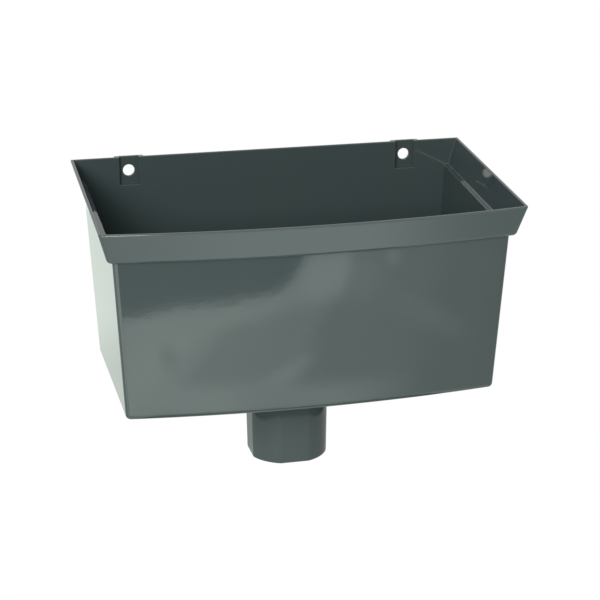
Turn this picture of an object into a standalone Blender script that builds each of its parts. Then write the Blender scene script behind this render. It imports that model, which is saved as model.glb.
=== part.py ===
"""Downpipe hopper head: a rainwater box with a splayed collar, fixing pads and a universal spigot.

The frame stands on the outer face of the back wall, midway between the two screw holes and at their
height. X runs across the hopper, +Y runs into the building and +Z is up, so the bowed front faces -Y.
The rim, and the ledge under the collar, lie in one plane that falls from the wall towards the front.
"""
import math

import bpy
from mathutils import Vector

NODE = "hopper_head"

# Shell
WALL = 0.0028
RIM_WIDTH = 0.339
RIM_DEPTH = 0.1811
RIM_FALL = 0.0155
RIM_ABOVE_HOLES = 0.01245
FRONT_BOW = 0.011
COLLAR_HEIGHT = 0.0258
COLLAR_FOOT_WIDTH = 0.3245
COLLAR_FOOT_DEPTH = 0.1742
BODY_TOP_WIDTH = 0.317
BODY_TOP_DEPTH = 0.1705
BODY_FOOT_WIDTH = 0.302
BODY_FOOT_DEPTH = 0.16175
HEIGHT = 0.1726
CORNER_RADIUS = 0.0043
BACK_CORNER_RADIUS = 0.0012
FOOT_RADIUS = 0.004
LIP_RADIUS = 0.0014

# Fixing pads, pushed back out of the wall, each with a screw hole
PAD_STAND = 0.004
PAD_WIDTH = 0.0252
PAD_DROP = 0.0278
PAD_DRAFT = 0.0009
POCKET_WIDTH = 0.0172
POCKET_DROP = 0.0246
HOLE_SPAN = 0.2406
HOLE_DIAMETER = 0.0098

# Spigot, round with four flats, for round and square pipes
SPIGOT_LENGTH = 0.0793
SPIGOT_FROM_WALL = 0.0617
SPIGOT_ACROSS_FLATS = 0.064
SPIGOT_ROUND = 0.0685
SPIGOT_TAPER = 0.0014
SPIGOT_WALL = 0.0026
SPIGOT_END_RADIUS = 0.0008

# Fineness of the curved parts
FRONT_STEPS = 28
CORNER_STEPS = 6
ROUND_STEPS = 4
ARC_STEPS = 9
HOLE_SIDES = 40

COLOUR = (0.071, 0.098, 0.098, 1.0)
ROUGHNESS = 0.1
OVERLAP = 0.0006

RIM_Z = RIM_ABOVE_HOLES
FOOT_Z = RIM_Z - HEIGHT
SPIGOT_END_Z = FOOT_Z - SPIGOT_LENGTH
RIM_SLOPE = RIM_FALL / RIM_DEPTH
BODY_TOP_Z = RIM_Z - COLLAR_HEIGHT - 0.5 * RIM_FALL


def arc(cx, cy, radius, start, end, steps):
    """Points along an arc; angles are in radians, measured from +X."""
    points = []
    for i in range(steps + 1):
        angle = start + (end - start) * i / steps
        points.append((cx + radius * math.cos(angle), cy + radius * math.sin(angle)))
    return points


def bow_outline(width, depth, inset=0.0):
    """A plan outline: straight back and sides, rounded corners and a front bowed out by FRONT_BOW.

    It is wound anticlockwise from the back right corner. The inset moves every side inwards.
    """
    half = 0.5 * width - inset
    back = -inset
    front = depth - inset + FRONT_BOW
    big = (half * half + FRONT_BOW * FRONT_BOW) / (2.0 * FRONT_BOW)
    centre = big - front
    corner = max(CORNER_RADIUS - inset, 0.0005)
    small = max(BACK_CORNER_RADIUS - inset, 0.0003)
    corner_x = half - corner
    reach = big - corner
    corner_y = centre - math.sqrt(reach * reach - corner_x * corner_x)
    lean = math.atan2(centre - corner_y, corner_x)
    right_angle = 0.5 * math.pi
    points = []
    points += arc(half - small, back - small, small, 0.0, right_angle, 2)
    points += arc(-half + small, back - small, small, right_angle, math.pi, 2)
    points += arc(-corner_x, corner_y, corner, math.pi, math.pi + lean, CORNER_STEPS)
    points += arc(0.0, centre, big, math.pi + lean, 2.0 * math.pi - lean, FRONT_STEPS)[1:-1]
    points += arc(corner_x, corner_y, corner, 2.0 * math.pi - lean, 2.0 * math.pi, CORNER_STEPS)
    return points


def level(outline, z):
    """The outline as a level ring."""
    return [Vector((x, y, z)) for x, y in outline]


def along_rim(outline, below):
    """The outline laid on a plane that is parallel to the rim and lies below it."""
    return [Vector((x, y, RIM_Z - below + RIM_SLOPE * y)) for x, y in outline]


def drafted(lower, upper, below):
    """The ring where the straight lines between two level rings meet a plane parallel to the rim."""
    ring = []
    for a, b in zip(lower, upper):
        run = b - a
        gap = RIM_Z - below + RIM_SLOPE * a.y - a.z
        t = gap / (run.z - RIM_SLOPE * run.y)
        ring.append(a + run * t)
    return ring


def pulled_in(radius, steps):
    """Pairs of (inset, drop) down a rounded edge, from the flat face to the side."""
    pairs = []
    for i in range(steps + 1):
        angle = 0.5 * math.pi * i / steps
        pairs.append((radius * (1.0 - math.sin(angle)), radius * (1.0 - math.cos(angle))))
    return pairs


def loft(name, rings):
    """A closed body through rings with the same number of points, lowest first, capped at both ends."""
    count = len(rings[0])
    vertices = [point for ring in rings for point in ring]
    faces = [tuple(reversed(range(count)))]
    for r in range(len(rings) - 1):
        low = r * count
        high = low + count
        for i in range(count):
            j = (i + 1) % count
            faces.append((low + i, low + j, high + j, high + i))
    top = (len(rings) - 1) * count
    faces.append(tuple(range(top, top + count)))
    mesh = bpy.data.meshes.new(name)
    mesh.from_pydata(vertices, [], faces)
    mesh.validate()
    return bpy.data.objects.new(name, mesh)


def body_rings(inset, foot_z, foot_radius, below):
    """Rings of the drafted body, from its rounded foot up to a plane parallel to the rim."""
    rings = []
    for pull, rise in pulled_in(foot_radius, ROUND_STEPS):
        rings.append(level(bow_outline(BODY_FOOT_WIDTH, BODY_FOOT_DEPTH, inset + pull), foot_z + rise))
    upper = level(bow_outline(BODY_TOP_WIDTH, BODY_TOP_DEPTH, inset), BODY_TOP_Z)
    rings.append(drafted(rings[-1], upper, below))
    return rings


def collar_at(t, inset):
    """Outline of the collar's outer face: t is 0 at its foot and 1 at the rim."""
    width = COLLAR_FOOT_WIDTH + t * (RIM_WIDTH - COLLAR_FOOT_WIDTH)
    depth = COLLAR_FOOT_DEPTH + t * (RIM_DEPTH - COLLAR_FOOT_DEPTH)
    return bow_outline(width, depth, inset)


def make_body():
    """The outer drafted box, up to the middle of the collar."""
    return loft("body", body_rings(0.0, FOOT_Z, FOOT_RADIUS, 0.5 * COLLAR_HEIGHT))


def make_collar():
    """The splayed collar as a solid, with rounded edges at its foot and its rim."""
    rings = []
    for pull, rise in pulled_in(LIP_RADIUS, ROUND_STEPS):
        t = rise / COLLAR_HEIGHT
        rings.append(along_rim(collar_at(t, pull), COLLAR_HEIGHT - rise))
    for pull, drop in reversed(pulled_in(LIP_RADIUS, ROUND_STEPS)):
        t = 1.0 - drop / COLLAR_HEIGHT
        rings.append(along_rim(collar_at(t, pull), drop))
    return loft("collar", rings)


def make_cavity():
    """The room inside the body, cut from above the rim down to the floor."""
    rings = body_rings(WALL, FOOT_Z + WALL, max(FOOT_RADIUS - WALL, 0.0006), 0.5 * COLLAR_HEIGHT)
    rings.append([Vector((p.x, p.y, RIM_Z + COLLAR_HEIGHT)) for p in rings[-1]])
    return loft("cavity_cutter", rings)


def make_mouth():
    """The splayed room inside the collar; its flat bottom leaves the ledge."""
    depth = COLLAR_HEIGHT - WALL
    foot = along_rim(collar_at(WALL / COLLAR_HEIGHT, WALL), depth)
    rim = along_rim(collar_at(1.0, WALL), 0.0)
    over = [Vector((p.x, p.y, RIM_Z + COLLAR_HEIGHT)) for p in rim]
    return loft("mouth_cutter", [foot, rim, over])


def spigot_outline(t, inset):
    """The spigot's section: t is 0 at its end and 1 where it meets the box."""
    flat = 0.5 * SPIGOT_ACROSS_FLATS + t * SPIGOT_TAPER - inset
    round_ = 0.5 * SPIGOT_ROUND + t * SPIGOT_TAPER - inset
    turn = math.acos(min(flat / round_, 0.999))
    points = []
    for quarter in range(4):
        start = 0.5 * math.pi * quarter
        points += arc(0.0, -SPIGOT_FROM_WALL, round_, start + turn, start + 0.5 * math.pi - turn, ARC_STEPS)
    return points


def make_spigot():
    """The spigot as a solid, with a rounded end."""
    rings = []
    for pull, rise in pulled_in(SPIGOT_END_RADIUS, 3):
        rings.append(level(spigot_outline(rise / SPIGOT_LENGTH, pull), SPIGOT_END_Z + rise))
    rings.append(level(spigot_outline(1.0, 0.0), FOOT_Z + 0.5 * WALL))
    return loft("spigot", rings)


def make_bore():
    """The waterway through the spigot and the floor, eased at the floor."""
    ease = 0.5 * WALL
    floor = FOOT_Z + WALL
    rings = [
        level(spigot_outline(0.0, SPIGOT_WALL), SPIGOT_END_Z - OVERLAP),
        level(spigot_outline(1.0, SPIGOT_WALL), floor - ease),
        level(spigot_outline(1.0, SPIGOT_WALL - 0.3 * ease), floor - 0.4 * ease),
        level(spigot_outline(1.0, SPIGOT_WALL - ease), floor),
        level(spigot_outline(1.0, SPIGOT_WALL - ease), floor + OVERLAP),
    ]
    return loft("bore_cutter", rings)


def block(name, x, width, drop, front, back, draft, top):
    """An upright block between two planes, narrower at the back by the draft on both sides and below."""
    rings = []
    for y, pull in ((front, 0.0), (back, draft)):
        left = x - 0.5 * width + pull
        right = x + 0.5 * width - pull
        low = RIM_Z - drop + pull
        rings.append([Vector((left, y, low)), Vector((left, y, top)),
                      Vector((right, y, top)), Vector((right, y, low))])
    return loft(name, rings)


def make_pad(x):
    """A pad that stands off behind the back wall."""
    return block("pad", x, PAD_WIDTH, PAD_DROP, -0.5 * WALL, PAD_STAND, PAD_DRAFT, RIM_Z)


def make_pocket(x):
    """The pocket that the pad leaves on the inside, open at the top."""
    front = -WALL - 4.0 * OVERLAP
    back = PAD_STAND - WALL
    return block("pocket_cutter", x, POCKET_WIDTH, POCKET_DROP, front, back, 0.0, RIM_Z + COLLAR_HEIGHT)


def make_hole(x):
    """The screw hole through the pad."""
    bpy.ops.mesh.primitive_cylinder_add(
        vertices=HOLE_SIDES,
        radius=0.5 * HOLE_DIAMETER,
        depth=4.0 * (PAD_STAND + WALL),
        location=(x, 0.5 * PAD_STAND, 0.0),
        rotation=(0.5 * math.pi, 0.0, 0.0),
    )
    hole = bpy.context.object
    hole.name = "hole_cutter"
    return hole


def combine(target, tool, operation, cutters):
    """Joins or cuts with an exact Boolean that is applied at once; the tool goes to the cutters."""
    for collection in tool.users_collection:
        collection.objects.unlink(tool)
    cutters.objects.link(tool)
    modifier = target.modifiers.new(operation.lower(), "BOOLEAN")
    modifier.operation = operation
    modifier.solver = "EXACT"
    modifier.object = tool
    bpy.context.view_layer.objects.active = target
    bpy.ops.object.modifier_apply(modifier=modifier.name)
    tool.hide_render = True
    tool.display_type = "WIRE"


def plastic():
    """Dark grey gloss plastic."""
    material = bpy.data.materials.new("anthracite_plastic")
    material.use_nodes = True
    shader = material.node_tree.nodes["Principled BSDF"]
    shader.inputs["Base Color"].default_value = COLOUR
    shader.inputs["Roughness"].default_value = ROUGHNESS
    shader.inputs["Metallic"].default_value = 0.0
    return material


def finish(hopper):
    """Tidies the mesh, shades it smooth with sharp edges kept, and gives it its material."""
    bpy.context.view_layer.objects.active = hopper
    bpy.ops.object.mode_set(mode="EDIT")
    bpy.ops.mesh.select_all(action="SELECT")
    bpy.ops.mesh.remove_doubles(threshold=0.00002)
    bpy.ops.mesh.dissolve_degenerate(threshold=0.00001)
    bpy.ops.mesh.quads_convert_to_tris(quad_method="BEAUTY", ngon_method="BEAUTY")
    bpy.ops.mesh.normals_make_consistent(inside=False)
    bpy.ops.object.mode_set(mode="OBJECT")
    hopper.data.shade_smooth()
    hopper.data.set_sharp_from_angle(angle=math.radians(32.0))
    hopper.data.materials.clear()
    hopper.data.materials.append(plastic())


def build():
    """Builds the hopper head from its outer solids, then cuts the rooms, pockets and holes."""
    for old in list(bpy.data.objects):
        bpy.data.objects.remove(old, do_unlink=True)
    part = bpy.data.collections.new("downpipe_hopper_head")
    cutters = bpy.data.collections.new("cutters")
    bpy.context.scene.collection.children.link(part)
    bpy.context.scene.collection.children.link(cutters)
    cutters.hide_render = True
    hopper = make_body()
    hopper.name = NODE
    hopper.data.name = NODE
    part.objects.link(hopper)
    combine(hopper, make_collar(), "UNION", cutters)
    combine(hopper, make_spigot(), "UNION", cutters)
    for side in (-0.5, 0.5):
        combine(hopper, make_pad(side * HOLE_SPAN), "UNION", cutters)
    combine(hopper, make_cavity(), "DIFFERENCE", cutters)
    combine(hopper, make_mouth(), "DIFFERENCE", cutters)
    combine(hopper, make_bore(), "DIFFERENCE", cutters)
    for side in (-0.5, 0.5):
        combine(hopper, make_pocket(side * HOLE_SPAN), "DIFFERENCE", cutters)
        combine(hopper, make_hole(side * HOLE_SPAN), "DIFFERENCE", cutters)
    finish(hopper)


build()
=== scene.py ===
# %% [markdown]
# # A downpipe hopper head in dark grey plastic
#
# A hopper head is the open box that hangs at the top of a rainwater pipe. This one is a single
# moulding: a box with slightly tapered walls and a front that bows outwards, a splayed collar, a flat
# back with two screw pads, and a spigot that plugs into the pipe below. The script gives a measured
# model of it its finished surface and its plastic, and ends with the studio and the camera.

# %% Load the measured model
import math
import numpy as np
import bmesh
import bpy
from mathutils import Matrix


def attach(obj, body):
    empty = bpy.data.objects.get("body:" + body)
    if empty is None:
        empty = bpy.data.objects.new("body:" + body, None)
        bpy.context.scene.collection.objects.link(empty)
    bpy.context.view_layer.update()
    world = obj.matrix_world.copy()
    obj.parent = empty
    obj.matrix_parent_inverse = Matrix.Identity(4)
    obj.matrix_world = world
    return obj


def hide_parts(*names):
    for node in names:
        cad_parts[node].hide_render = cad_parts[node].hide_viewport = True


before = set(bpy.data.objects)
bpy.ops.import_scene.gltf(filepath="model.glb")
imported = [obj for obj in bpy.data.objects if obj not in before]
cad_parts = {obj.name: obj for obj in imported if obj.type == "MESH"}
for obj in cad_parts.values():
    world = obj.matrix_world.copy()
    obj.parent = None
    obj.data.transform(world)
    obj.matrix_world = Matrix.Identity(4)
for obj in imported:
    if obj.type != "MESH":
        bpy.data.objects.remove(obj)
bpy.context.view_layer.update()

# %% [markdown]
# ## Sizes
#
# Everything is in metres. The origin lies on the outer face of the back wall, midway between the two
# screw holes. +Z is up, +Y goes into the building and the bowed front faces -Y. The rim is not level:
# it falls a little towards the front, so that a flooded hopper spills away from the wall. The ledge
# inside and the lower edge of the collar are parallel to it.

# %% Name the sizes
WALL = 0.0028
RIM_WIDTH, RIM_DEPTH = 0.33897, 0.18107
RIM_Z, RIM_FALL = 0.01245, 0.0155
FRONT_BOW = 0.011
COLLAR_HEIGHT = 0.0258
COLLAR_FOOT_WIDTH, COLLAR_FOOT_DEPTH = 0.3245, 0.1742
BODY_TOP_WIDTH, BODY_TOP_DEPTH = 0.317, 0.1705
BODY_FOOT_WIDTH, BODY_FOOT_DEPTH = 0.302, 0.16175
FOOT_Z = RIM_Z - 0.1726
CORNER_RADIUS, BACK_CORNER_RADIUS = 0.0043, 0.0012
FOOT_RADIUS, LIP_RADIUS, COLLAR_FOOT_RADIUS = 0.004, 0.0014, 0.0028
PAD_STAND, PAD_WIDTH, PAD_DROP = 0.004, 0.0252, 0.0278
POCKET_WIDTH, POCKET_DROP = 0.0172, 0.0246
HOLE_X, HOLE_RADIUS = 0.1203, 0.0049
SPIGOT_Y, SPIGOT_LENGTH = -0.0617, 0.0793
SPIGOT_FLAT, SPIGOT_ROUND = 0.032, 0.03425
SPIGOT_TAPER, SPIGOT_WALL = 0.0014, 0.0026
SPIGOT_END_Z = FOOT_Z - SPIGOT_LENGTH
RIM_SLOPE = RIM_FALL / RIM_DEPTH
BODY_TOP_Z = RIM_Z - COLLAR_HEIGHT - 0.5 * RIM_FALL
print("rim %.0f by %.0f mm, %.0f mm from rim to spigot end" % (
    1000 * RIM_WIDTH, 1000 * (RIM_DEPTH + FRONT_BOW), 1000 * (RIM_Z - SPIGOT_END_Z)))

# %% [markdown]
# ## One closed surface
#
# Blender could join a box, a collar and a tube with Booleans, but gloss plastic shows every join. A
# moulding can be read as one closed surface instead. Take a section through its wall and walk along
# the skin: from the spigot's end up its outside, along the underside, up the wall, round the collar
# and the rim, down the inside, across the floor and down the bore to the start. Every stop on that
# walk is a ring round the object, and all the rings have the same number of points. The shape is then
# a function of two parameters: the place round the ring and the place along the walk.
#
# The back wall needs columns of points at fixed places, because the two screw pads are pushed out of
# it later. A small table says how steeply a pad rises: each row gives a distance inside the pad's edge
# and the share of its full height there. A pocket has a table too, and the columns follow both.

# %% Place the columns of the back wall
PAD_EDGE = np.array([[0.0, 0.0], [0.0002, 0.08], [0.00075, 0.92], [0.0012, 1.0]])
POCKET_EDGE = np.array([[0.0, 0.0], [0.0002, 0.015], [0.00035, 0.05], [0.00045, 0.12],
                        [0.00055, 0.92], [0.0007, 1.0]])
BESIDE, INSIDE_POCKET = 0.0006, 0.0011
ROUND_HOLE = 0.0068
BETWEEN_PADS = 0.104
OUTSIDE_PADS = np.array([0.136, 0.1395, 0.1445])
pad_columns = 0.5 * PAD_WIDTH - np.append(PAD_EDGE[:, 0], -BESIDE)
pocket_columns = 0.5 * POCKET_WIDTH - np.append(POCKET_EDGE[:, 0], [-BESIDE, INSIDE_POCKET])
hole_columns = np.linspace(0.0, ROUND_HOLE, 6)
one_side = np.concatenate([pad_columns, pocket_columns, hole_columns])
near_hole = np.unique(np.concatenate([one_side, -one_side]))
plain = np.concatenate([np.linspace(-BETWEEN_PADS, BETWEEN_PADS, 71), OUTSIDE_PADS, -OUTSIDE_PADS])
columns = np.sort(np.concatenate([plain, near_hole - HOLE_X, near_hole + HOLE_X]))[::-1]
print(len(columns), "columns on the back wall")


# %% [markdown]
# ## The outline from above
#
# Seen from above, the box has a straight back and sides, small rounded corners, and a front that is
# part of a very large circle. The circle that rounds a front corner touches the side and the large
# circle, so its centre lies one small radius inside both, and Pythagoras gives the place.
#
# Flat faces are kept flat by a trick that is worth knowing. Smooth shading spreads the turn at an edge
# over the whole next face, so one more point is put close to each end of a straight run.

# %% Write two helpers for curves
def spread(start, end, steps, hold):
    """Evenly spaced numbers from start to end, with one more close to each end, the hold away."""
    close = math.copysign(hold, end - start)
    return np.insert(np.linspace(start, end, steps + 1), [1, steps], [start + close, end - close])


def arc(cx, cy, radius, angles):
    """Centre plus radius times the cosine and the sine of each angle."""
    return np.stack([cx + radius * np.cos(angles), cy + radius * np.sin(angles)], axis=1)


print("0 to 1 in 4 steps with a hold of 0.05:", spread(0.0, 1.0, 4, 0.05).round(2))

# %% Write the outline as a function
BACK_CORNER_POINTS, FRONT_CORNER_POINTS = 4, 10
SIDE_STEPS, FRONT_STEPS = 26, 112
SIDE_HOLD = 0.0008
FRONT_HOLD_ANGLE = 0.0009
LEAST_RADIUS, LEAST_BACK_RADIUS = 0.0006, 0.0004


def outline(width, depth, inset=0.0, back=None):
    """Anticlockwise outline of the box from its back right corner. Every side is moved inwards by the
    inset, or the back to a place of its own. The radius of the bowed front is the half width squared
    plus the bow squared, over twice the bow. A front corner's centre lies one corner radius inside the
    side, and as far from the large centre as the large radius less the corner's."""
    half, front = 0.5 * width - inset, depth - inset + FRONT_BOW
    back = -inset if back is None else back
    large = (half * half + FRONT_BOW * FRONT_BOW) / (2.0 * FRONT_BOW)
    centre = large - front
    corner = max(CORNER_RADIUS - inset, LEAST_RADIUS)
    small = max(BACK_CORNER_RADIUS - inset, LEAST_BACK_RADIUS)
    corner_x = half - corner
    corner_y = centre - math.sqrt((large - corner) ** 2 - corner_x ** 2)
    lean = math.atan2(centre - corner_y, corner_x)
    quarter = np.linspace(0.0, 0.5 * math.pi, BACK_CORNER_POINTS)
    turn = np.linspace(math.pi, math.pi + lean, FRONT_CORNER_POINTS)
    sweep = spread(math.pi + lean, 2.0 * math.pi - lean, FRONT_STEPS, FRONT_HOLD_ANGLE)[1:-1]
    side_y = spread(back - small, corner_y, SIDE_STEPS, SIDE_HOLD)[1:-1]
    left = np.stack([np.full_like(side_y, -half), side_y], axis=1)
    ends = half - small - SIDE_HOLD
    wall_x = np.concatenate([[ends], columns, [-ends]])
    return np.concatenate([
        arc(half - small, back - small, small, quarter),
        np.stack([wall_x, np.full_like(wall_x, back)], axis=1),
        arc(small - half, back - small, small, quarter + 0.5 * math.pi),
        left,
        arc(-corner_x, corner_y, corner, turn),
        arc(0.0, centre, large, sweep),
        arc(corner_x, corner_y, corner, 3.0 * math.pi - turn[::-1]),
        (left * [-1.0, 1.0])[::-1],
    ])


foot_outline = outline(BODY_FOOT_WIDTH, BODY_FOOT_DEPTH, FOOT_RADIUS)
AROUND = len(foot_outline)
back_slice = slice(BACK_CORNER_POINTS, BACK_CORNER_POINTS + len(columns) + 2)
print(AROUND, "points round each ring")


# %% [markdown]
# ## Rings for the walls and the collar
#
# The walls have draft: they lean outwards a little towards the top, so that the moulding slips off its
# core. Between the level ring at the foot and the level ring at the top, every point runs along a
# straight line. Where those lines cross a plane parallel to the rim, they give a sloping ring. The
# collar's rings lie on such planes too, and grow evenly from its foot to the rim. On the back, wall and
# collar are one plane. A step of 0.03 mm between them, too small to see, keeps their faces apart.

# %% Make the rings
BACK_STEP = 0.00003


def level(flat, z):
    """The outline as a ring at one height."""
    return np.column_stack([flat, np.full(len(flat), z)])


def wall(inset, below=None):
    """Ring of the drafted wall: the one at the top of its rounded foot, or each of its points plus a
    share of the straight run up from it. The share is the height that is missing to the plane below
    the rim's, over the height that the whole run gains on that plane."""
    back = -inset - BACK_STEP
    low = level(outline(BODY_FOOT_WIDTH, BODY_FOOT_DEPTH, inset, back), FOOT_Z + FOOT_RADIUS)
    if below is None:
        return low
    run = level(outline(BODY_TOP_WIDTH, BODY_TOP_DEPTH, inset, back), BODY_TOP_Z) - low
    gap = RIM_Z - below + RIM_SLOPE * low[:, 1] - low[:, 2]
    return low + run * (gap / (run[:, 2] - RIM_SLOPE * run[:, 1]))[:, None]


def collar(below, inset, back=None):
    """Ring of the collar, on the plane below the rim's: width and depth grow in proportion to the
    height above the collar's foot."""
    t = 1.0 - below / COLLAR_HEIGHT
    flat = outline(COLLAR_FOOT_WIDTH + t * (RIM_WIDTH - COLLAR_FOOT_WIDTH),
                   COLLAR_FOOT_DEPTH + t * (RIM_DEPTH - COLLAR_FOOT_DEPTH), inset, back)
    return np.column_stack([flat, RIM_Z - below + RIM_SLOPE * flat[:, 1]])


print("the wall leans %.1f degrees at the sides" % math.degrees(math.atan2(
    0.5 * (BODY_TOP_WIDTH - BODY_FOOT_WIDTH), BODY_TOP_Z - FOOT_Z)))


# %% [markdown]
# ## Rings for the spigot
#
# The spigot is round with four flats, so that one moulding fits round pipe and square pipe. In any
# direction from its axis, the skin is at the smaller of two distances: the circle's radius, and the
# distance to the flat that the direction meets. The points must keep the ring's order, and a pair of
# them has to stand at each edge of a flat. So the ring's points are shared out by interpolation between
# those eight pairs.

# %% Share out the directions
PAIR_DEGREES = 0.6
seen = np.unwrap(np.arctan2(foot_outline[:, 1] - SPIGOT_Y, foot_outline[:, 0]))
flat_edge = math.acos(SPIGOT_FLAT / SPIGOT_ROUND)
edges = np.add.outer(0.5 * math.pi * np.arange(5), [flat_edge, 0.5 * math.pi - flat_edge]).ravel()[1:9]
marks = np.searchsorted(np.append(seen, seen + 2.0 * math.pi), edges)
marks = np.stack([marks - 1, marks], axis=1).ravel()
places = np.add.outer(edges, np.radians([-PAIR_DEGREES, PAIR_DEGREES])).ravel()
marks = np.concatenate([marks - AROUND, marks, marks + AROUND])
places = np.concatenate([places - 2.0 * math.pi, places, places + 2.0 * math.pi])
direction = np.interp(np.arange(AROUND), marks, places)
print("a flat's edge lies %.1f degrees from its middle" % math.degrees(flat_edge))

# %% Write the spigot as a function of direction
def spigot(t, inset, z):
    """Ring of the spigot: t is 0 at its end and 1 at the box. The reach is the smaller of the circle's
    radius and the flat's distance over the larger of the direction's cosine and sine."""
    growth = t * SPIGOT_TAPER - inset
    across = np.maximum(np.abs(np.cos(direction)), np.abs(np.sin(direction)))
    reach = np.minimum(SPIGOT_ROUND + growth, (SPIGOT_FLAT + growth) / across)
    return level(np.stack([reach * np.cos(direction), SPIGOT_Y + reach * np.sin(direction)], axis=1), z)


print("flats %.0f mm apart, round %.1f mm" % (2000 * SPIGOT_FLAT, 2000 * SPIGOT_ROUND))


# %% [markdown]
# ## The walk along the skin
#
# Real moulded edges are never sharp. A small radius catches a line of light, and that line is most of
# what tells the eye that it looks at a real thing. Two helpers make all the rings of the walk: one for
# straight stretches and one for rounded edges. A third adds them to it.
#
# Two numbers go with each ring. One says whether it belongs to the outer skin or to the inner one, and
# the other how much it stands out as an edge, which the material uses to rub the edges a little.

# %% Write the helpers for the walk
OUTER, INNER = 1.0, -1.0
walk, skins, rubbed = [], [], []


def between(a, b, steps, hold=0.0):
    """Rings on the straight way from a to b: a plus a growing share of the way. The hold is the share at
    which one more ring stands close to each end."""
    share = spread(0.0, 1.0, steps, hold) if hold else np.linspace(0.0, 1.0, steps + 1)
    return a + (b - a) * share[:, None, None]


def bend(a, corner, b, steps=5):
    """Rings round an edge: a weighted mean of a, the corner and b. With t from 0 to 1, the weights are the
    square of 1 - t, the root of two times t times 1 - t, and the square of t. Where a and b are square
    to each other and equally far from the corner, that is a quarter circle."""
    t = np.linspace(0.0, 1.0, steps + 1)[:, None, None]
    weights = (1.0 - t) ** 2, math.sqrt(2.0) * t * (1.0 - t), t * t
    return (weights[0] * a + weights[1] * corner + weights[2] * b) / sum(weights)


def follow(rings, skin, rub=0.0):
    """Adds rings to the walk, without the first, which the walk has already reached."""
    share = np.linspace(0.0, 1.0, len(rings))
    walk.append(rings[1:])
    skins.append(np.full(len(rings) - 1, skin))
    rubbed.append(rub * np.sin(math.pi * share[1:]))
    return rings[-1]


quarter_round = bend(*np.array([[[1.0, 0.0]], [[1.0, 1.0]], [[0.0, 1.0]]]))
print("a bend's distances from the middle of its circle:", np.linalg.norm(quarter_round, axis=-1).ravel())

# %% [markdown]
# The outside comes first. From the spigot's end the walk goes up to a small fillet, along the
# underside, round the foot and up the wall to the collar.

# %% Walk up the outside
END_RADIUS, FILLET = 0.0008, 0.001
start = spigot(0.0, END_RADIUS, SPIGOT_END_Z)
there = spigot(END_RADIUS / SPIGOT_LENGTH, 0.0, SPIGOT_END_Z + END_RADIUS)
here = follow(bend(start, spigot(0.0, 0.0, SPIGOT_END_Z), there, 4), OUTER, 0.7)
here = follow(between(here, spigot(1.0, 0.0, FOOT_Z - FILLET), 12, 0.006), OUTER)
here = follow(bend(here, spigot(1.0, 0.0, FOOT_Z), spigot(1.0, -FILLET, FOOT_Z), 4), OUTER)
here = follow(between(here, level(foot_outline, FOOT_Z), 6, 0.012), OUTER)
corner = level(outline(BODY_FOOT_WIDTH, BODY_FOOT_DEPTH), FOOT_Z)
here = follow(bend(here, corner, wall(0.0), 8), OUTER, 0.6)
pad_rows = PAD_DROP - np.insert(PAD_EDGE[:, 0], 0, -BESIDE)
here = follow(between(here, wall(0.0, pad_rows[0]), 30, 0.005), OUTER)
for below in pad_rows[1:]:
    here = follow(np.stack([here, wall(0.0, below)]), OUTER)
print(sum(map(len, walk)), "rings up to the collar")

# %% [markdown]
# The collar's foot stands a little proud of the wall. The rim is well rounded outside and nearly
# square inside. On the rim the walk passes from the outer skin to the inner one. Where a pad is, that
# makes a flat top as deep as the pad, and elsewhere the two rings lie on each other and are merged.

# %% Walk round the collar and the rim
SHELF, INNER_LIP = 0.0005, 0.0005
CREASE_SHARE = 0.25
shelf = collar(COLLAR_HEIGHT, COLLAR_FOOT_RADIUS, 0.0)
under = wall(0.0, COLLAR_HEIGHT)
here = follow(between(here, wall(0.0, COLLAR_HEIGHT + SHELF), 1), OUTER)
here = follow(bend(here, under, under + (shelf - under) * CREASE_SHARE, 3), OUTER)
here = follow(between(here, shelf, 2), OUTER)
there = collar(COLLAR_HEIGHT - COLLAR_FOOT_RADIUS, 0.0)
here = follow(bend(here, collar(COLLAR_HEIGHT, 0.0), there, 8), OUTER, 0.8)
here = follow(between(here, collar(LIP_RADIUS, 0.0), 10, 0.02), OUTER)
here = follow(bend(here, collar(0.0, 0.0), collar(0.0, LIP_RADIUS), 7), OUTER, 1.0)
here = follow(np.stack([here, here]), INNER)
here = follow(between(here, collar(0.0, WALL - INNER_LIP), 2), INNER)
here = follow(bend(here, collar(0.0, WALL), collar(INNER_LIP, WALL), 4), INNER, 0.8)
print(sum(map(len, walk)), "rings up to the inner edge of the rim")

# %% [markdown]
# Inside, the splayed mouth ends in a narrow ledge, and the inner wall drops from the ledge to the
# floor. The rows are closer together where the pockets behind the screws end.

# %% Walk down the inside to the floor
LEDGE = COLLAR_HEIGHT - WALL
LEDGE_SHARE = 0.12
mouth, inner = collar(LEDGE, WALL), wall(WALL, LEDGE)
here = follow(between(here, collar(LEDGE - SHELF, WALL), 10, 0.02), INNER)
here = follow(bend(here, mouth, mouth + (inner - mouth) * LEDGE_SHARE, 3), INNER)
here = follow(between(here, inner + (mouth - inner) * LEDGE_SHARE, 2), INNER)
here = follow(bend(here, inner, wall(WALL, LEDGE + SHELF), 4), INNER, 0.3)
pocket_rows = POCKET_DROP + np.append(-POCKET_EDGE[::-1, 0], BESIDE)
for below in pocket_rows:
    here = follow(np.stack([here, wall(WALL, below)]), INNER)
here = follow(between(here, wall(WALL), 28, 0.005), INNER)
print(sum(map(len, walk)), "rings up to the floor")

# %% [markdown]
# Across the floor the rings shrink from the box's outline to the spigot's, and an eased edge leads down
# into the bore. The last stretch closes the walk at the ring where it began.

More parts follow.
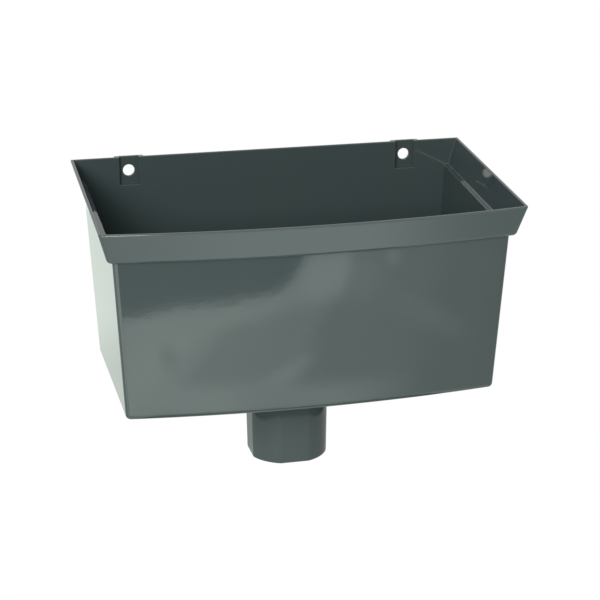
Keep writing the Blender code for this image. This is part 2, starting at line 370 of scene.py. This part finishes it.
# %% Walk across the floor and down the bore
FLOOR_Z, FLOOR_RADIUS = FOOT_Z + WALL, FOOT_RADIUS - WALL
EASE, BORE_EDGE = 0.5 * WALL, 0.0004
floor_corner = level(outline(BODY_FOOT_WIDTH, BODY_FOOT_DEPTH, WALL), FLOOR_Z)
floor_edge = level(outline(BODY_FOOT_WIDTH, BODY_FOOT_DEPTH, WALL + FLOOR_RADIUS), FLOOR_Z)
here = follow(bend(here, floor_corner, floor_edge, 4), INNER)
here = follow(between(here, spigot(1.0, SPIGOT_WALL - EASE, FLOOR_Z), 8, 0.01), INNER)
throat = spigot(1.0, SPIGOT_WALL, FLOOR_Z - EASE)
here = follow(bend(here, spigot(1.0, SPIGOT_WALL, FLOOR_Z), throat, 4), INNER)
here = follow(between(here, spigot(0.0, SPIGOT_WALL, SPIGOT_END_Z + BORE_EDGE), 12, 0.006), INNER)
bore_end = spigot(0.0, SPIGOT_WALL - BORE_EDGE, SPIGOT_END_Z)
here = follow(bend(here, spigot(0.0, SPIGOT_WALL, SPIGOT_END_Z), bore_end, 3), INNER, 0.4)
follow(between(here, start, 2), INNER)
skin_points = np.concatenate(walk)
skin_of_ring, rub_of_ring = np.concatenate(skins), np.concatenate(rubbed)
print("rings, points round each and coordinates:", skin_points.shape)


# %% [markdown]
# ## Pads and pockets
#
# Each screw has a pad that stands 4 mm behind the wall, and on the inside a pocket of the same depth,
# so the plastic stays thin there. With the columns and rows in place, both are one formula: a point
# moves back by how far it is inside the pad's outline, read from the small table.

# %% Push out the pads and the pockets
def raised(points, width, drop, edge):
    """How far a point is raised, from 0 to 1: the distance inside the nearest edge, through the table."""
    beside = 0.5 * width - np.abs(np.abs(points[..., 0]) - HOLE_X)
    above = points[..., 2] - (RIM_Z - drop)
    return np.interp(np.minimum(beside, above), edge[:, 0], edge[:, 1])


back = skin_points[:, back_slice]
pads = raised(back, PAD_WIDTH, PAD_DROP, PAD_EDGE)
pockets = raised(back, POCKET_WIDTH, POCKET_DROP, POCKET_EDGE)
outer_rings = (skin_of_ring == OUTER)[:, None]
back[..., 1] += PAD_STAND * np.where(outer_rings, pads, pockets)
print("back of the pads at %.1f mm" % (1000 * skin_points[..., 1].max()))


# %% [markdown]
# ## Into the mesh
#
# The rings are joined to their neighbours all the way round, and the last ring to the first, so the
# surface is closed. Points that lie on each other, on the rim beside the pads and where the ledge runs
# out on the back wall, are merged.

# %% Make the mesh
MERGE_DISTANCE = 2e-6


def grid_faces(rings, around):
    """Four-sided faces between neighbouring points; both directions close on themselves."""
    index = np.arange(rings * around).reshape(rings, around)
    up, on = np.roll(index, -1, axis=0), np.roll(index, -1, axis=1)
    return np.stack([index, on, np.roll(up, -1, axis=1), up], axis=-1).reshape(-1, 4)


def add_object(name, data):
    """A new object in the scene, with the given mesh, lamp or camera."""
    thing = bpy.data.objects.new(name, data)
    bpy.context.scene.collection.objects.link(thing)
    return thing


def put_in_mesh(name, points, faces, values):
    """A mesh object from arrays, with its doubles merged and each named value kept on its points."""
    mesh = bpy.data.meshes.new(name)
    mesh.from_pydata(points.reshape(-1, 3).tolist(), [], faces.tolist())
    for title, value in values:
        mesh.attributes.new(title, "FLOAT", "POINT").data.foreach_set("value", value.ravel())
    work = bmesh.new()
    work.from_mesh(mesh)
    bmesh.ops.remove_doubles(work, verts=work.verts, dist=MERGE_DISTANCE)
    work.to_mesh(mesh)
    work.free()
    return add_object(name, mesh)


rub = np.repeat(rub_of_ring[:, None], AROUND, axis=1)
faces = grid_faces(*skin_points.shape[:2])
hopper = put_in_mesh("hopper_moulding", skin_points, faces, [("rub", rub)])
print(len(hopper.data.vertices), "points,", len(hopper.data.polygons), "faces")


# %% [markdown]
# ## Screw holes
#
# The holes are the one place for a Boolean, because a circle doesn't follow the grid. The cutter is a
# spool, a cylinder that flares at both faces of the pad, so that it leaves a small bevel behind. Its
# flare is a table too: the depth below the pad's face, and what that adds to the hole's radius.

# %% Write the spool
HOLE_FLARE = np.array([[-0.002, 0.0025], [0.0, 0.0005], [0.0004, 0.0]])
HOLE_STEPS = 48


def spool(x):
    """Closed turned shape along Y: a radius for each station, times the cosine and sine of the angle.
    The stations are the flare's table at the pocket's face, and its mirror image at the pad's back."""
    near = HOLE_FLARE + [PAD_STAND - WALL, 0.0]
    far = HOLE_FLARE[::-1] * [-1.0, 1.0] + [PAD_STAND, 0.0]
    stations = np.concatenate([near, far])
    angle = np.linspace(0.0, 2.0 * math.pi, HOLE_STEPS, endpoint=False)
    radius = HOLE_RADIUS + stations[:, 1:]
    points = np.stack([x + radius * np.cos(angle), np.repeat(stations[:, :1], HOLE_STEPS, axis=1),
                       radius * np.sin(angle)], axis=-1)
    index = np.arange(points.shape[0] * HOLE_STEPS).reshape(-1, HOLE_STEPS)
    on = np.roll(index, -1, axis=1)
    sides = np.stack([index[:-1], index[1:], on[1:], on[:-1]], axis=-1).reshape(-1, 4)
    mesh = bpy.data.meshes.new("spool")
    mesh.from_pydata(points.reshape(-1, 3).tolist(), [],
                     sides.tolist() + [index[0].tolist(), index[-1][::-1].tolist()])
    return add_object("spool", mesh)


print("holes %.1f mm wide" % (2000 * HOLE_RADIUS))

# %% [markdown]
# The spool is cut away at each hole. Then the faces are shaded smooth, but for the edges that turn by
# more than a set angle.

# %% Cut the screw holes
SHARP_DEGREES = 38.0
bpy.context.view_layer.objects.active = hopper
for x in (-HOLE_X, HOLE_X):
    cutter = spool(x)
    cut = hopper.modifiers.new("screw hole", "BOOLEAN")
    cut.operation, cut.solver, cut.object = "DIFFERENCE", "EXACT", cutter
    bpy.ops.object.modifier_apply(modifier=cut.name)
    bpy.data.objects.remove(cutter)
hopper.data.shade_smooth()
hopper.data.set_sharp_from_angle(angle=math.radians(SHARP_DEGREES))
print(len(hopper.data.polygons), "faces after the holes")


# %% [markdown]
# ## The plastic
#
# The hopper is moulded in one colour right through, a dark grey with a little green in it. Its face is
# glossy, because the mould was polished, but it is not a mirror. Four small things make it plastic and
# not paint. The face has a very fine grain, the gloss is uneven where hands and stacking have dulled it,
# the edges are rubbed a little lighter, and fine dust lies where nothing wipes it off. Each is a node
# group with a mask or a height as its output, so that it can be used again on another moulding with
# other values.
#
# A few helpers keep the groups readable. An input of a node takes either a plain value or a link from
# another node, and the helpers take both.

# %% Write the helpers for nodes and groups
def make_group(name, inputs, output):
    """An empty node group with float inputs, given with their defaults, and one float output."""
    group = bpy.data.node_groups.new(name, "ShaderNodeTree")
    for title, value in inputs:
        socket = group.interface.new_socket(title, in_out="INPUT", socket_type="NodeSocketFloat")
        socket.default_value = value
    group.interface.new_socket(output, in_out="OUTPUT", socket_type="NodeSocketFloat")
    return group, group.nodes.new("NodeGroupInput").outputs, group.nodes.new("NodeGroupOutput").inputs


def join(tree, *pairs):
    """Links each pair of an output and an input."""
    for source, target in pairs:
        tree.links.new(source, target)


def add_node(tree, kind, settings=(), values=()):
    """A node with its settings, and a value or a link for its inputs by name or number."""
    node = tree.nodes.new(kind)
    for title, value in settings:
        setattr(node, title, value)
    for socket, value in values:
        if isinstance(value, bpy.types.NodeSocket):
            join(tree, (value, node.inputs[socket]))
        else:
            node.inputs[socket].default_value = value
    return node


def math_node(tree, operation, first, second, clamp=False):
    """The result of a Math node on two inputs."""
    node = add_node(tree, "ShaderNodeMath", [("operation", operation), ("use_clamp", clamp)],
                    [(0, first), (1, second)])
    return node.outputs["Value"]


def map_range(tree, value, low, high, to_low=0.0, to_high=1.0):
    """Carries the range low to high over to another, smoothly, and stops at its ends."""
    node = add_node(tree, "ShaderNodeMapRange", [("interpolation_type", "SMOOTHSTEP")],
                    [("Value", value), ("From Min", low), ("From Max", high),
                     ("To Min", to_low), ("To Max", to_high)])
    return node.outputs["Result"]


print("helpers for nodes are ready")

# %% [markdown]
# What is uneven on the plastic comes from noise on the object's own coordinates, so it stays in place
# when the hopper moves. Turned and squeezed coordinates draw the noise out in one direction.

# %% Write the helpers for noise
def object_place(tree):
    """The object's own coordinates."""
    return add_node(tree, "ShaderNodeTexCoord").outputs["Object"]


def drawn_out(tree, place, rotation, scale):
    """The coordinates turned and scaled; a small scale draws the noise on them out along that axis."""
    return add_node(tree, "ShaderNodeMapping", values=[
        ("Vector", place), ("Rotation", rotation), ("Scale", scale)]).outputs["Vector"]


def noise(tree, place, scale, detail=2.0, roughness=0.5):
    """Noise from 0 to 1 on the given coordinates."""
    return add_node(tree, "ShaderNodeTexNoise", values=[
        ("Vector", place), ("Scale", scale), ("Detail", detail), ("Roughness", roughness)]).outputs["Fac"]


print("helpers for noise are ready")

# %% [markdown]
# The first two groups are about the gloss. A polished mould still leaves a face that is uneven by some
# thousandths of a millimetre, and handling leaves wide dull smudges with thin marks in them.

# %% Write the groups for grain and gloss
def fine_grain():
    """Height of the tiny unevenness: fine noise plus a coarser one at two and a half times its weight."""
    group, given, out = make_group("fine_grain", [("Scale", 900.0), ("Coarse", 120.0)], "Height")
    place = object_place(group)
    fine = noise(group, place, given["Scale"], detail=3.0)
    coarse = math_node(group, "MULTIPLY", noise(group, place, given["Coarse"]), 2.5)
    join(group, (math_node(group, "ADD", fine, coarse), out["Height"]))
    return group


def handled_gloss():
    """Mask from 0 to 1 of where the gloss is dulled: wide smudges, times thin drawn marks plus a little."""
    group, given, out = make_group("handled_gloss", [("Smudge Scale", 14.0), ("Mark Scale", 60.0)], "Mask")
    place = object_place(group)
    wide = noise(group, place, given["Smudge Scale"], detail=4.0, roughness=0.6)
    stretched = drawn_out(group, place, rotation=(0.0, 0.5, 0.3), scale=(1.0, 1.0, 0.12))
    marks = noise(group, stretched, given["Mark Scale"], detail=5.0, roughness=0.7)
    smudge = map_range(group, wide, low=0.42, high=0.68)
    thin = map_range(group, marks, low=0.5, high=0.75)
    both = math_node(group, "MULTIPLY", smudge, math_node(group, "ADD", thin, 0.4), clamp=True)
    join(group, (both, out["Mask"]))
    return group


groups = {make.__name__: make() for make in (fine_grain, handled_gloss)}
print("groups:", ", ".join(groups))

# %% [markdown]
# The other two are about wear and time. The edges that stand out were marked when the rings were made,
# and dust needs only the direction that a face looks in.

# %% Write the groups for edges and dust
def rubbed_edges():
    """Mask from 0 to 1 on the edges that stand out, read from the piece's own values and broken by noise."""
    group, given, out = make_group("rubbed_edges", [("Break Scale", 160.0), ("Amount", 1.0)], "Mask")
    broken = noise(group, object_place(group), given["Break Scale"], detail=4.0, roughness=0.65)
    edge = add_node(group, "ShaderNodeAttribute", [("attribute_name", "rub")]).outputs["Fac"]
    spots = map_range(group, broken, low=0.35, high=0.7, to_low=0.25)
    worn = math_node(group, "MULTIPLY", edge, spots)
    join(group, (math_node(group, "MULTIPLY", worn, given["Amount"], clamp=True), out["Mask"]))
    return group


def settled_dust():
    """Mask from 0 to 1 on faces that look up: the upward part of the normal, times two noises."""
    group, given, out = make_group("settled_dust", [("Fleck Scale", 700.0), ("Amount", 0.5)], "Mask")
    place = object_place(group)
    flecks = noise(group, place, given["Fleck Scale"], detail=3.0, roughness=0.7)
    drift = noise(group, place, scale=22.0, detail=3.0)
    normal = add_node(group, "ShaderNodeNewGeometry").outputs["Normal"]
    up = add_node(group, "ShaderNodeSeparateXYZ", values=[("Vector", normal)]).outputs["Z"]
    facing = map_range(group, up, low=0.55, high=0.98)
    grains = map_range(group, flecks, low=0.5, high=0.72)
    uneven = map_range(group, drift, low=0.35, high=0.7, to_low=0.3)
    settled = math_node(group, "MULTIPLY", math_node(group, "MULTIPLY", facing, grains), uneven)
    join(group, (math_node(group, "MULTIPLY", settled, given["Amount"], clamp=True), out["Mask"]))
    return group


groups.update({make.__name__: make() for make in (rubbed_edges, settled_dust)})
print("groups:", ", ".join(groups))


# %% [markdown]
# The material puts them together. The pigment hardly varies, but a thick moulding shows faint clouds
# where the melt flowed, so the colour is mixed from two close greys. Rubbed edges and dust are lighter
# and duller. The gloss itself is the plain dielectric gloss of the shader, and nothing is painted in.

# %% Name the colours and write two more helpers
PIGMENT = (0.071, 0.098, 0.098, 1.0)
PIGMENT_CLOUD = (0.075, 0.101, 0.099, 1.0)
RUBBED = (0.130, 0.150, 0.148, 1.0)
DUST = (0.30, 0.31, 0.29, 1.0)
RUB_AMOUNT, DUST_AMOUNT = 0.35, 0.25
GLOSS, DULL = 0.045, 0.085
PLASTIC_IOR = 1.5
GRAIN_STRENGTH, GRAIN_DEPTH = 0.12, 0.00005
MIX_SOCKETS = {"FLOAT": (2, 3, 0), "RGBA": (6, 7, 2)}


def use_group(tree, name, values=()):
    """The only output of a group node with its values."""
    return add_node(tree, "ShaderNodeGroup", [("node_tree", groups[name])], values).outputs[0]


def mix(tree, kind, factor, first, second):
    """The first value where the factor is 0, the second where it is 1, and a blend of them between."""
    one, two, result = MIX_SOCKETS[kind]
    node = add_node(tree, "ShaderNodeMix", [("data_type", kind)], [(0, factor), (one, first), (two, second)])
    return node.outputs[result]


print("colours: pigment", PIGMENT[:3], "dust", DUST[:3])

# %% Mix the dark grey plastic
plastic = bpy.data.materials.new("anthracite_plastic")
plastic.use_nodes = True
tree = plastic.node_tree
shader = tree.nodes["Principled BSDF"]
shader.inputs["IOR"].default_value = PLASTIC_IOR
flow = drawn_out(tree, object_place(tree), rotation=(0.1, 0.35, 0.0), scale=(1.0, 1.0, 0.45))
clouds = map_range(tree, noise(tree, flow, scale=9.0, detail=4.0), low=0.3, high=0.7)
rub_mask = use_group(tree, "rubbed_edges", [("Amount", RUB_AMOUNT)])
dust_mask = use_group(tree, "settled_dust", [("Amount", DUST_AMOUNT)])
colour = mix(tree, "RGBA", clouds, PIGMENT, PIGMENT_CLOUD)
colour = mix(tree, "RGBA", rub_mask, colour, RUBBED)
colour = mix(tree, "RGBA", dust_mask, colour, DUST)
worn = math_node(tree, "ADD", rub_mask, dust_mask)
dulled = math_node(tree, "MAXIMUM", use_group(tree, "handled_gloss"), worn)
bump = add_node(tree, "ShaderNodeBump", values=[
    ("Strength", GRAIN_STRENGTH), ("Distance", GRAIN_DEPTH), ("Height", use_group(tree, "fine_grain"))])
join(tree, (colour, shader.inputs["Base Color"]),
     (map_range(tree, dulled, 0.0, 1.0, GLOSS, DULL), shader.inputs["Roughness"]),
     (bump.outputs["Normal"], shader.inputs["Normal"]))
hopper.data.materials.append(plastic)
print("the plastic has", len(tree.nodes), "nodes")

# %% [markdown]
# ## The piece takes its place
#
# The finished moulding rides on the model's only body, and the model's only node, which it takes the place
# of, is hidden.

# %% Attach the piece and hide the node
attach(hopper, "root")
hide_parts("hopper_head")
print("pieces:", hopper.name)


# %% [markdown]
# ## The studio
#
# The photograph was taken against plain white in even light. The world gives that light from all
# around. Cameras and mirrors see it as white, at a strength of 1, and matt surfaces get a third of it,
# because the lamps and the floor make up the rest.

# %% Build the world
AMBIENT = 0.32
WHITE = (1.0, 1.0, 1.0, 1.0)


def seen_directly(tree):
    """1 where a camera sees the thing, itself or by a mirror or clear plastic, and 0 for matt light."""
    rays = add_node(tree, "ShaderNodeLightPath").outputs
    by_way = math_node(tree, "MAXIMUM", rays["Is Glossy Ray"], rays["Is Transmission Ray"])
    return math_node(tree, "MAXIMUM", rays["Is Camera Ray"], by_way)


world = bpy.data.worlds.new("white_studio")
bpy.context.scene.world = world
world.use_nodes = True
world.cycles.sampling_method = "NONE"
sky = world.node_tree
background = sky.nodes["Background"]
background.inputs["Color"].default_value = WHITE
join(sky, (map_range(sky, seen_directly(sky), 0.0, 1.0, AMBIENT, 1.0), background.inputs["Strength"]))
print("matt surfaces get %.0f%% of the white" % (100 * AMBIENT))

# %% [markdown]
# The hopper hangs, so the floor is well below it. It is white paper that glows where it is seen
# directly, so that it meets the white background without an edge. A few hundredths of it stay matt
# paper, which keeps the object's shadow.

# %% Lay the floor
FLOOR_LOW, FLOOR_REACH = -1.9, 40.0
PAPER, PAPER_ROUGHNESS = (0.95, 0.95, 0.95, 1.0), 0.9
GLOW_STRENGTH, GLOW_SHARE = 1.03, 0.96


def stage_sheet(name, left, right, low, high):
    """A flat sheet for the studio, apart from the object: a rectangle from left to right along X, between
    a low and a high edge that are each given as Y and Z."""
    corners = [(left, *low), (right, *low), (right, *high), (left, *high)]
    mesh = bpy.data.meshes.new(name)
    mesh.from_pydata(corners, [], [[0, 1, 2, 3]])
    thing = add_object(name, mesh)
    return thing


floor = stage_sheet("studio_floor", -FLOOR_REACH, FLOOR_REACH, (-FLOOR_REACH, FLOOR_LOW),
                    (FLOOR_REACH, FLOOR_LOW))
paper = bpy.data.materials.new("floor_paper")
paper.use_nodes = True
tree = paper.node_tree
matt = tree.nodes["Principled BSDF"]
matt.inputs["Base Color"].default_value = PAPER
matt.inputs["Roughness"].default_value = PAPER_ROUGHNESS
glow = add_node(tree, "ShaderNodeEmission", values=[("Strength", GLOW_STRENGTH)])
share = math_node(tree, "MULTIPLY", seen_directly(tree), GLOW_SHARE)
blend = add_node(tree, "ShaderNodeMixShader", values=[
    (0, share), (1, matt.outputs["BSDF"]), (2, glow.outputs["Emission"])])
join(tree, (blend.outputs["Shader"], tree.nodes["Material Output"].inputs["Surface"]))
floor.data.materials.append(paper)
print("floor at %.1f m" % FLOOR_LOW)

# %% [markdown]
# A soft lamp stands at the front left. A weaker and wider one shines up from below, as a pale table
# does, and mirrors don't see that one.

# %% Hang the lamps
LIT_POINT = (0.0, -0.1, -0.1)


def stand(thing, place, right, up, back):
    """Puts a thing at a place, with its own X, Y and Z axes along three directions."""
    matrix = np.eye(4)
    matrix[:3, :3] = np.stack([right, up, back], axis=1)
    matrix[:3, 3] = place
    thing.matrix_world = Matrix(matrix.tolist())


def soft_lamp(name, place, width, height, power):
    """A rectangular lamp that shines from a place to the lit point. Its back is the direction from that
    point, its right is square to the vertical and the back, and its up is square to both."""
    light = bpy.data.lights.new(name, "AREA")
    light.shape, light.size, light.size_y, light.energy = "RECTANGLE", width, height, power
    lamp = add_object(name, light)
    way = np.array(place) - np.array(LIT_POINT)
    back = way / np.linalg.norm(way)
    across = np.cross([0.0, 0.0, 1.0], back)
    right = across / np.linalg.norm(across)
    stand(lamp, place, right, np.cross(back, right), back)
    return lamp


soft_lamp("lamp_front_left", (-1.0, -1.95, 0.75), width=0.8, height=0.8, power=26.0)
from_below = soft_lamp("lamp_from_below", (-0.15, -1.5, -1.2), width=1.6, height=1.2, power=7.0)
from_below.visible_glossy = False
print("lamps:", ", ".join(light.name for light in bpy.data.lights))


# %% [markdown]
# ## What the gloss mirrors
#
# Gloss plastic shows what stands around it. In the photograph the front mirrors a pale table with soft
# folds of light on it, and past the table's edge a darker room, which makes the dark field at the upper
# left. Plain cards stand for what is around. Only mirror rays see them, so they throw no light and no
# shadow. A card's brightness is a ramp with soft patches laid over it, in the order of its table. They
# were placed from where rays off the front land.
#
# A patch is a slanted box with rounded corners. Its own two coordinates run from -1 to 1 along its half
# axes, and its edge is where the sum of their powers reaches 1: power 2 makes an ellipse, and a high
# power nearly a box.

# %% Write the patch
def along_way(tree, place, way):
    """The place along a direction: the sum of the products of their coordinates."""
    return add_node(tree, "ShaderNodeVectorMath", [("operation", "DOT_PRODUCT")],
                    [(0, place), (1, way)]).outputs["Value"]


def lay_patch(tree, place, under, centre, half_long, half_wide, power, soft, brightness):
    """Lays a patch over the brightness under it; soft is the width of its faded edge, as a share. Below
    zero it turns the patch inside out."""
    moved = add_node(tree, "ShaderNodeVectorMath", [("operation", "SUBTRACT")],
                     [(0, place), (1, (*centre, 0.0))]).outputs["Vector"]
    total = 0.0
    for way in np.linalg.inv(np.array([half_long, half_wide]).T):
        size = math_node(tree, "ABSOLUTE", along_way(tree, moved, (*way, 0.0)), 0.0)
        total = math_node(tree, "ADD", math_node(tree, "POWER", size, power), total)
    reach = math_node(tree, "POWER", total, 1.0 / power)
    mask = map_range(tree, reach, 1.0 - soft, 1.0 + soft, 1.0, 0.0)
    return mix(tree, "FLOAT", mask, under, brightness)


print("a patch is ready to be laid")

# %% [markdown]
# A ramp is a list of places and brightnesses along one direction, with a smooth step between each two.

# %% Write the mirror card
CARD_TINT = (0.95, 1.04, 0.96, 1.0)


def lay_ramp(tree, along, ramp):
    """The first step of the ramp, and each later one mixed over it as its own stretch is crossed."""
    brightness = map_range(tree, along, ramp[0][0], ramp[1][0], ramp[0][1], ramp[1][1])
    for (low, _), (high, value) in zip(ramp[1:], ramp[2:]):
        brightness = mix(tree, "FLOAT", map_range(tree, along, low, high), brightness, value)
    return brightness


# The cards glow with painted light and shade, which the gloss shows as painted reflections.
def mirror_card(name, edges, way, ramp, patches=()):
    """A card between its edges that only mirror rays see. Its brightness is a ramp along the given
    direction, with patches laid over it."""
    card = stage_sheet(name, *edges)
    card.visible_camera = card.visible_diffuse = card.visible_shadow = False
    card.visible_transmission = card.visible_volume_scatter = False
    material = bpy.data.materials.new(name)
    material.use_nodes = True
    material.cycles.emission_sampling = "NONE"
    tree = material.node_tree
    tree.nodes.remove(tree.nodes["Principled BSDF"])
    place = object_place(tree)
    brightness = lay_ramp(tree, along_way(tree, place, way), ramp)
    for patch in patches:
        brightness = lay_patch(tree, place, brightness, *patch)
    glow = add_node(tree, "ShaderNodeEmission", values=[("Color", CARD_TINT), ("Strength", brightness)])
    join(tree, (glow.outputs["Emission"], tree.nodes["Material Output"].inputs["Surface"]))
    card.data.materials.append(material)
    print(name, "has", len(ramp) - 1, "steps and", len(patches), "patches")


print("the cards' tint is", CARD_TINT[:3])

# %% [markdown]
# The table lies level, well below the hopper. It is a painted reflection, and its ramp is a painted pool
# of lamp light that runs slantwise, from light at the front left to dull at the back right. Each row of
# its patches gives a centre, two half axes, the power, the softness and the brightness. The words beside
# it say where on the front it is seen.

# %% Hang the table
TABLE_Z = -0.74
TABLE_EDGES = -2.5, 2.5, (-2.0, TABLE_Z), (2.8, TABLE_Z)
TABLE_WAY = (1.0, 0.75, 0.0)
# painted light: bright where a lamp at the front left would light the table, dull at the back right
TABLE_LIGHT_POOL = [(-1.51, 2.2), (-1.21, 2.6), (-1.14, 2.2), (-1.07, 1.6), (-0.81, 1.5), (-0.71, 1.0),
              (-0.41, 0.93), (-0.16, 0.68), (0.19, 0.5)]
TABLE_PATCHES = [
    ((0.0, 0.4), (3.0, 0.0), (0.0, 0.9), 8, 0.10, 0.7),  # all round the hopper
    ((0.0, 2.4), (3.0, 0.0), (0.0, 1.2), 8, 0.10, 1.12),  # behind it
    ((0.0, 1.2), (3.0, 0.0), (0.0, 0.42), 8, 0.45, 0.92),  # close behind it
    ((0.0, -0.70), (0.95, 0.0), (0.0, 0.31), 6, 0.10, 1.15),  # in front, seen in the collar
    ((0.22, -0.83), (0.32, 0.0), (0.0, 0.25), 2, 0.70, 1.9),  # lighter in the collar's middle
    ((0.95, -0.78), (0.42, 0.0), (0.0, 0.32), 2, 0.50, 0.65),  # duller at the collar's right
    ((-0.03, -1.528), (0.30, -0.062), (0.0, 0.055), 3, 0.45, 2.45),  # along the table's edge
    ((0.54, -1.60), (0.08, 0.015), (0.02, -0.09), 2, 0.80, 1.4),  # right of the light field
    ((0.40, -1.63), (0.095, 0.01), (0.05, -0.085), 4, 0.40, 2.35),  # the light field beside the dark one
    ((-0.08, -1.235), (0.26, -0.02), (0.0, 0.045), 2, 0.60, 2.45),  # the light foot at the left
    ((0.17, -1.30), (0.12, -0.055), (0.01, 0.022), 2, 0.50, 2.2),  # the streak
    ((0.26, -1.22), (0.23, 0.03), (0.0, 0.045), 2, 0.70, 1.95),  # below the streak
    ((0.70, -1.40), (0.11, 0.14), (0.035, -0.02), 2, 0.80, 1.15),  # the faint band at the right
    ((0.69, -1.635), (0.035, 0.0), (0.0, 0.03), 2, 0.60, 1.7),  # the small light spot at the upper right
    ((-0.19, -1.36), (0.03, 0.0), (0.0, 0.035), 2, 0.70, 1.8),  # the small dull spot at the left
    ((-0.019, -1.747), (-0.45, 0.072), (0.20, -0.218), 20, 0.02, 0.12),  # the dark room
    ((-0.315, -1.677), (-0.235, 0.094), (0.0, -0.20), 20, 0.02, 0.12),  # and its left part
]
mirror_card("painted_table_reflection", TABLE_EDGES, TABLE_WAY, TABLE_LIGHT_POOL, TABLE_PATCHES)

# %% [markdown]
# The shade is a small level card just under the spigot's end, which darkens what the top of the spigot
# mirrors. The highlight card is an upright card behind the camera that glows, though it is no lamp, and
# lays a painted highlight on the left end of the front rim.

# %% Hang the shade and the highlight card
SHADE_Z, HIGHLIGHT_CARD_Y = -0.242, -3.0
SHADE_EDGES = -0.138, 0.138, (-0.27, SHADE_Z), (0.06, SHADE_Z)
SHADE_RAMP = [(-0.1, 0.58), (-0.03, 0.7), (0.05, 0.5)]
SHADE_PATCHES = [
    ((-0.04, 0.0), (0.05, 0.0), (0.0, 0.055), 2, 0.40, 0.5),  # a duller spot left of the middle
    ((0.0, 0.03), (0.125, 0.0), (0.0, 0.2227), 3, -0.03, 0.04),  # deep shade outside an oval
]
# painted highlight: this glowing card is no lamp, and only mirror rays see it, on the rim
HIGHLIGHT_CARD_EDGES = -0.57, -0.15, (HIGHLIGHT_CARD_Y, 0.6), (HIGHLIGHT_CARD_Y, 5.0)
HIGHLIGHT_CARD_RAMP = [(-0.57, 4.5), (-0.48, 10.0), (-0.38, 10.0), (-0.15, 1.0)]
ACROSS = (1.0, 0.0, 0.0)
mirror_card("mirrored_shade", SHADE_EDGES, ACROSS, SHADE_RAMP, SHADE_PATCHES)
mirror_card("rim_highlight_card", HIGHLIGHT_CARD_EDGES, ACROSS, HIGHLIGHT_CARD_RAMP)

# %% [markdown]
# ## The camera
#
# The camera's place, direction and lens were fitted to the edges in the photograph. It stands a little
# to the left, looks down by 18 degrees, and has a long lens.

# %% Set the camera
CAMERA_PLACE = (-0.31447, -1.44245, 0.36207)
YAW, PITCH, ROLL = (math.radians(a) for a in (13.32, 18.24, -0.21))
LENS, FILM_WIDTH = 106.25, 36.0
forward = np.array([math.sin(YAW) * math.cos(PITCH), math.cos(YAW) * math.cos(PITCH), -math.sin(PITCH)])
right = np.array([math.cos(YAW), -math.sin(YAW), 0.0])
upward = np.cross(right, forward)
lens = bpy.data.cameras.new("camera")
lens.lens, lens.sensor_width = LENS, FILM_WIDTH
camera = add_object("camera", lens)
stand(camera, CAMERA_PLACE, math.cos(ROLL) * right + math.sin(ROLL) * upward,
      math.cos(ROLL) * upward - math.sin(ROLL) * right, -forward)
bpy.context.scene.camera = camera
bpy.context.scene.view_settings.view_transform = "Standard"
print("the frame is %.1f degrees wide" % math.degrees(2 * math.atan(0.5 * FILM_WIDTH / LENS)))
